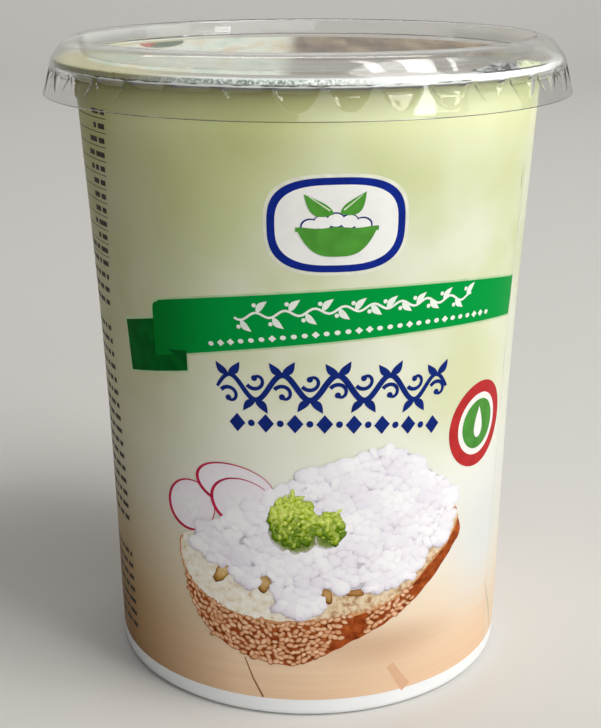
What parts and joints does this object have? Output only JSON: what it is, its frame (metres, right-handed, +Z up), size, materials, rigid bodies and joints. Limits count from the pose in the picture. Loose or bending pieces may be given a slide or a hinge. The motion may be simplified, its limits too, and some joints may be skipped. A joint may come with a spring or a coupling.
{
  "type": "cottage cheese tub",
  "caption": "Tall tapered plastic tub of cottage cheese, shut by a foil seal under a clear push-on overlid with a stacking ring, wrapped in a pale green printed label.",
  "frame": {"origin": "middle of the tub's underside, on the surface that the tub stands on", "axes": "+Z up along the tub's own axis, -Y towards the front of the label, +X to its right"},
  "size_m": [0.0988, 0.0988, 0.122],
  "materials": {
    "tub": "white semi-gloss moulded polypropylene",
    "label": "pale green printed film with a soft gloss",
    "foil_seal": "lacquered, partly printed aluminium foil",
    "overlid": "clear, thin, thermoformed plastic"
  },
  "bodies": {
    "root": {"tub": "tub", "label": "label", "foil_seal": "foil_seal", "overlid": "overlid"}
  },
  "joints": []
}
